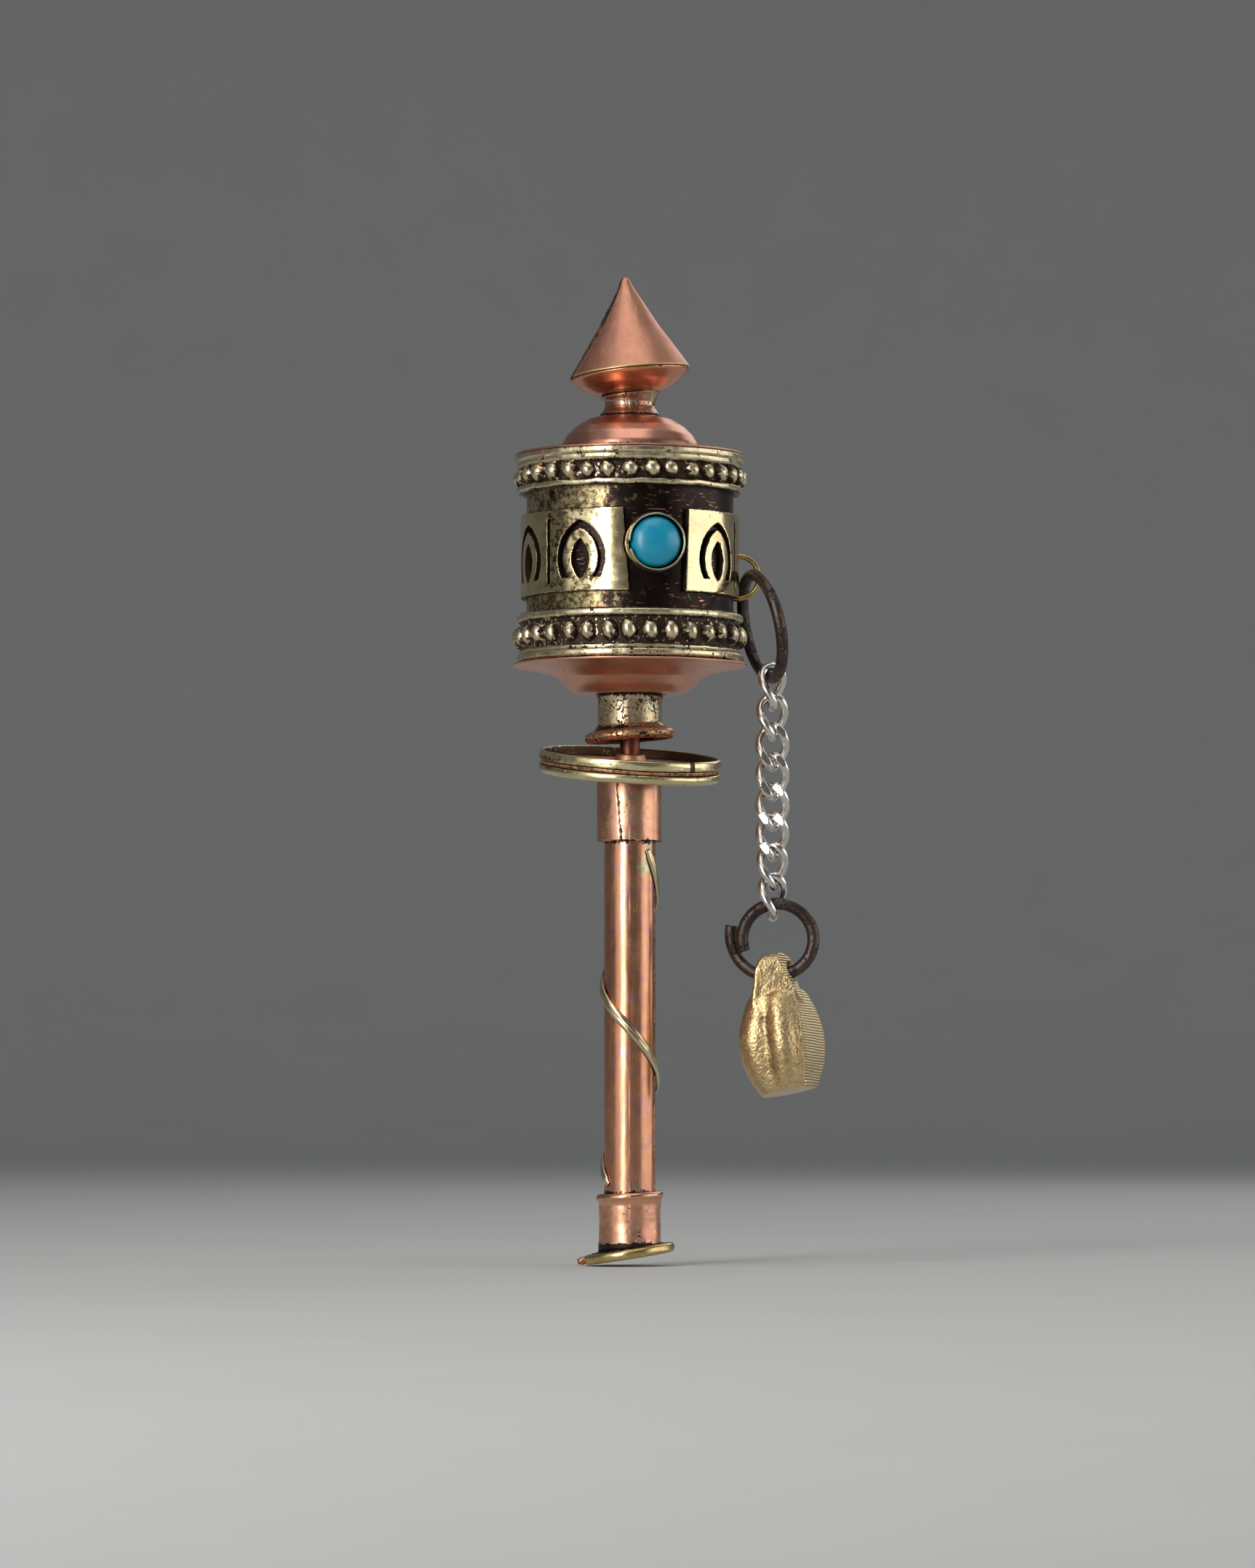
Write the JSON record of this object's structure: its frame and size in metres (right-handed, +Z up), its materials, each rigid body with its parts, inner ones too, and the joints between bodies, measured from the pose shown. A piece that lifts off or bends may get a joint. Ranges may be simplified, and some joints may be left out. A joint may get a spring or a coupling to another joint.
{
  "type": "prayer_wheel",
  "caption": "Small hand-held prayer wheel: a beaded drum with a conical finial spins on a strip-wrapped tube handle, swung by a chained cast weight.",
  "frame": {"origin": "Centre of the lower face of the foot disc, on the handle's axis", "axes": "+Z up along the handle and spindle towards the finial, +X towards the eye and chain, -Y towards the viewer, 13 degrees to the left of the stone"},
  "size_m": [0.0261, 0.0202, 0.0825],
  "materials": {
    "copper": "satin copper with grime in the seams",
    "brass": "pale yellow brass, worn",
    "white_brass": "silvery brass with black in the recesses",
    "patina": "black-brown patina with rubbed copper",
    "iron": "dark brown iron wire",
    "silver": "bright silver",
    "cast_brass": "raw grainy casting",
    "stone": "polished blue turquoise",
    "wood": "plain turned wood, hidden",
    "paper": "rolled blank paper, hidden"
  },
  "bodies": {
    "handle": {"foot_flange": "brass", "bottom_ferrule": "copper", "handle_tube": "copper", "handle_core": "wood", "spiral_strip": "white_brass", "top_ferrule": "copper", "guard_plate": "copper", "guard_upper_rim": "white_brass", "guard_lower_rim": "brass", "spindle": "copper", "thrust_washer": "brass", "spindle_stop": "brass"},
    "drum": {"bearing_sleeve": "brass", "bottom_collar": "copper", "bottom_plate": "copper", "drum_wall": "patina", "prayer_scroll": "paper", "lower_bead_band": "white_brass", "upper_bead_band": "white_brass", "pierced_band": "brass", "bezel": "white_brass", "turquoise_stone": "stone", "eye_loop": "brass", "top_dome": "copper", "finial_neck": "copper", "finial_bowl": "copper", "finial_cone": "copper"},
    "ring_body": {"upper_ring": "iron"},
    "link_1_body": {"link_1": "silver"},
    "link_2_body": {"link_2": "silver"},
    "link_3_body": {"link_3": "silver"},
    "link_4_body": {"link_4": "silver"},
    "link_5_body": {"link_5": "silver"},
    "link_6_body": {"link_6": "silver"},
    "link_7_body": {"link_7": "silver"},
    "link_8_body": {"link_8": "silver"},
    "low_ring_body": {"lower_ring": "iron"},
    "weight_body": {"weight": "cast_brass"}
  },
  "joints": [
    {"name": "drum_spin", "type": "hinge", "parent": "handle", "child": "drum", "pos_m": [0, 0, 0.06], "axis": [0, 0, 1], "continuous": true},
    {"name": "ring_swing", "type": "hinge", "parent": "drum", "child": "ring_body", "pos_m": [0.00996, 0, 0.05672], "axis": [0, -1, 0], "range_deg": [0, 75]},
    {"name": "link_1_swing", "type": "hinge", "parent": "ring_body", "child": "link_1_body", "pos_m": [0.0119, -0.00018, 0.04826], "axis": [0.3046, -0.9525, 0], "range_deg": [-4, 25]},
    {"name": "link_2_tilt", "type": "hinge", "parent": "link_1_body", "child": "link_2_body", "pos_m": [0.01187, -0.0001, 0.04625], "axis": [1, 0, 0], "range_deg": [-15, 15]},
    {"name": "link_3_swing", "type": "hinge", "parent": "link_2_body", "child": "link_3_body", "pos_m": [0.01187, -0.0001, 0.04375], "axis": [0, -1, 0], "range_deg": [-4, 20]},
    {"name": "link_4_tilt", "type": "hinge", "parent": "link_3_body", "child": "link_4_body", "pos_m": [0.01187, -0.0001, 0.04125], "axis": [1, 0, 0], "range_deg": [-15, 15]},
    {"name": "link_5_swing", "type": "hinge", "parent": "link_4_body", "child": "link_5_body", "pos_m": [0.01187, -0.0001, 0.03875], "axis": [0, -1, 0], "range_deg": [-4, 20]},
    {"name": "link_6_tilt", "type": "hinge", "parent": "link_5_body", "child": "link_6_body", "pos_m": [0.01187, -0.0001, 0.03625], "axis": [1, 0, 0], "range_deg": [-12, 12]},
    {"name": "link_7_swing", "type": "hinge", "parent": "link_6_body", "child": "link_7_body", "pos_m": [0.01187, -0.0001, 0.03375], "axis": [0, -1, 0], "range_deg": [-3, 10]},
    {"name": "link_8_tilt", "type": "hinge", "parent": "link_7_body", "child": "link_8_body", "pos_m": [0.01187, -0.0001, 0.03125], "axis": [1, 0, 0], "range_deg": [-5, 5]},
    {"name": "low_ring_swing", "type": "hinge", "parent": "link_8_body", "child": "low_ring_body", "pos_m": [0.01187, -0.0001, 0.02922], "axis": [0, -1, 0], "range_deg": [-5, 10]},
    {"name": "weight_swing", "type": "hinge", "parent": "low_ring_body", "child": "weight_body", "pos_m": [0.01208, -0.0001, 0.02335], "axis": [1, 0, 0], "range_deg": [-20, 20]}
  ]
}
